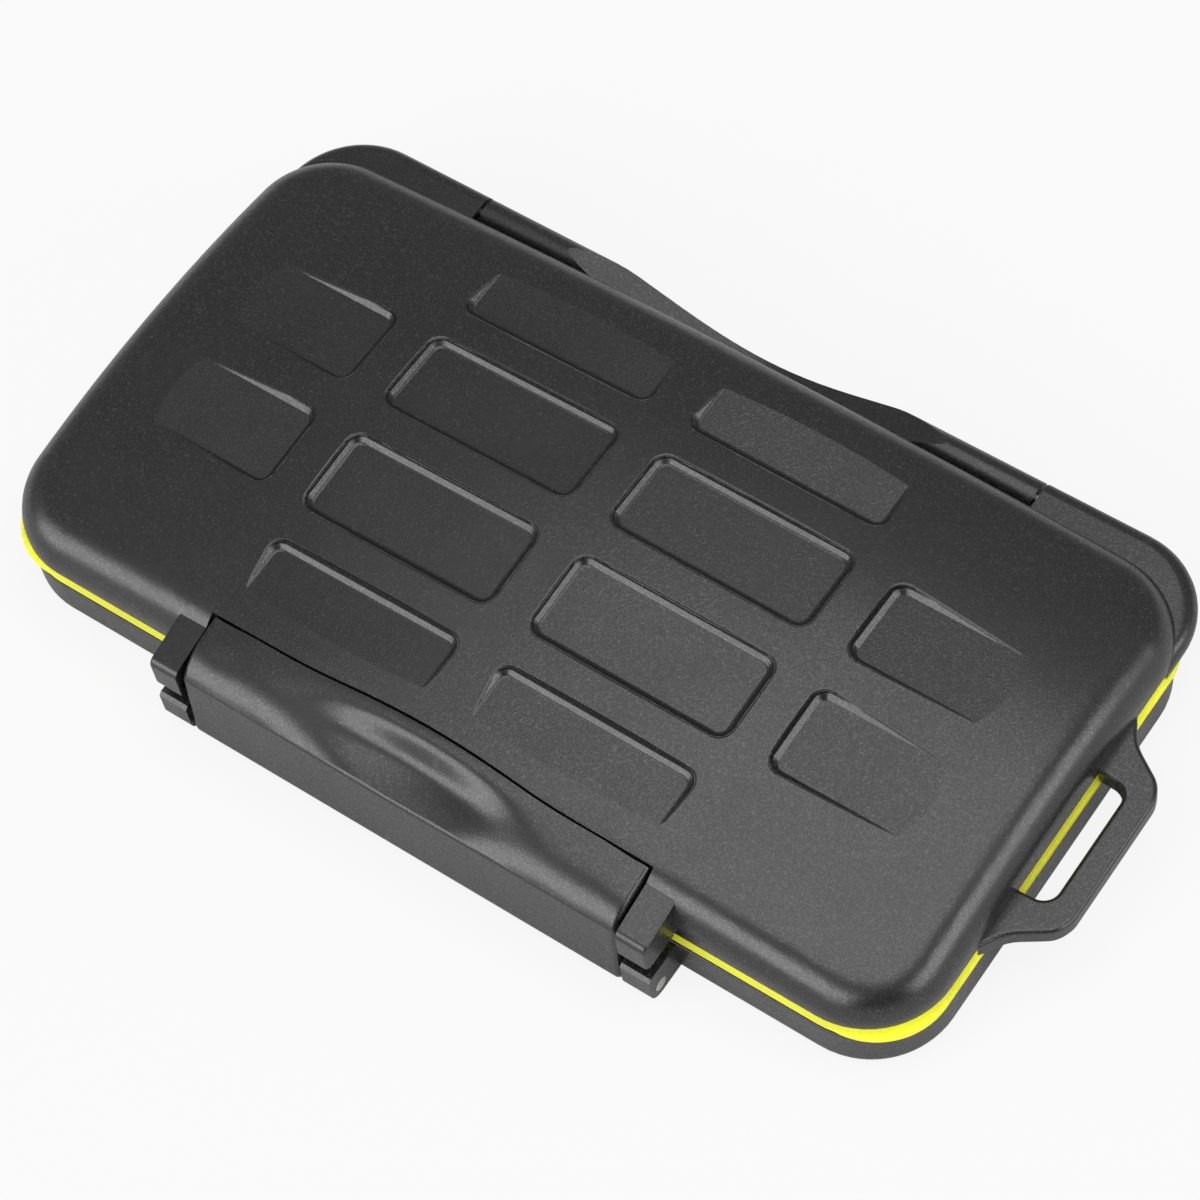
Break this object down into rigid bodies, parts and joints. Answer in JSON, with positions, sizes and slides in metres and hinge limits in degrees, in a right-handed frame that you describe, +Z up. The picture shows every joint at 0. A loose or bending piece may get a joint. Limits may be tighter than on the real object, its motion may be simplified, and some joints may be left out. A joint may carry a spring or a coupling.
{
  "type": "memory card case",
  "caption": "Flat hard case for memory cards with a crowned, pocket-patterned lid on a rear hinge, a wide front latch, soft yellow card liners and a lanyard loop.",
  "frame": {"origin": "middle of the flat underside of the base", "axes": "+X along the length towards the lanyard loop, +Y towards the hinge, +Z up"},
  "size_m": [0.147, 0.0823, 0.0216],
  "materials": {
    "shell": "moulded black plastic with a fine matt grain",
    "liner": "soft bright yellow elastomer",
    "pin": "ground steel"
  },
  "bodies": {
    "base": {"base_shell": "shell", "base_liner": "liner", "latch_pin_left": "pin", "latch_pin_right": "pin"},
    "lid": {"lid_shell": "shell", "lid_liner": "liner", "hinge_pin_left": "pin", "hinge_pin_right": "pin"},
    "flap": {"latch": "shell"}
  },
  "joints": [
    {"name": "lid_hinge", "type": "hinge", "parent": "base", "child": "lid", "pos_m": [0, 0.0387, 0.0096], "axis": [-1, 0, 0], "range_deg": [0, 165]},
    {"name": "latch_pivot", "type": "hinge", "parent": "base", "child": "flap", "pos_m": [0, -0.0393, 0.0027], "axis": [1, 0, 0], "range_deg": [0, 90]}
  ]
}
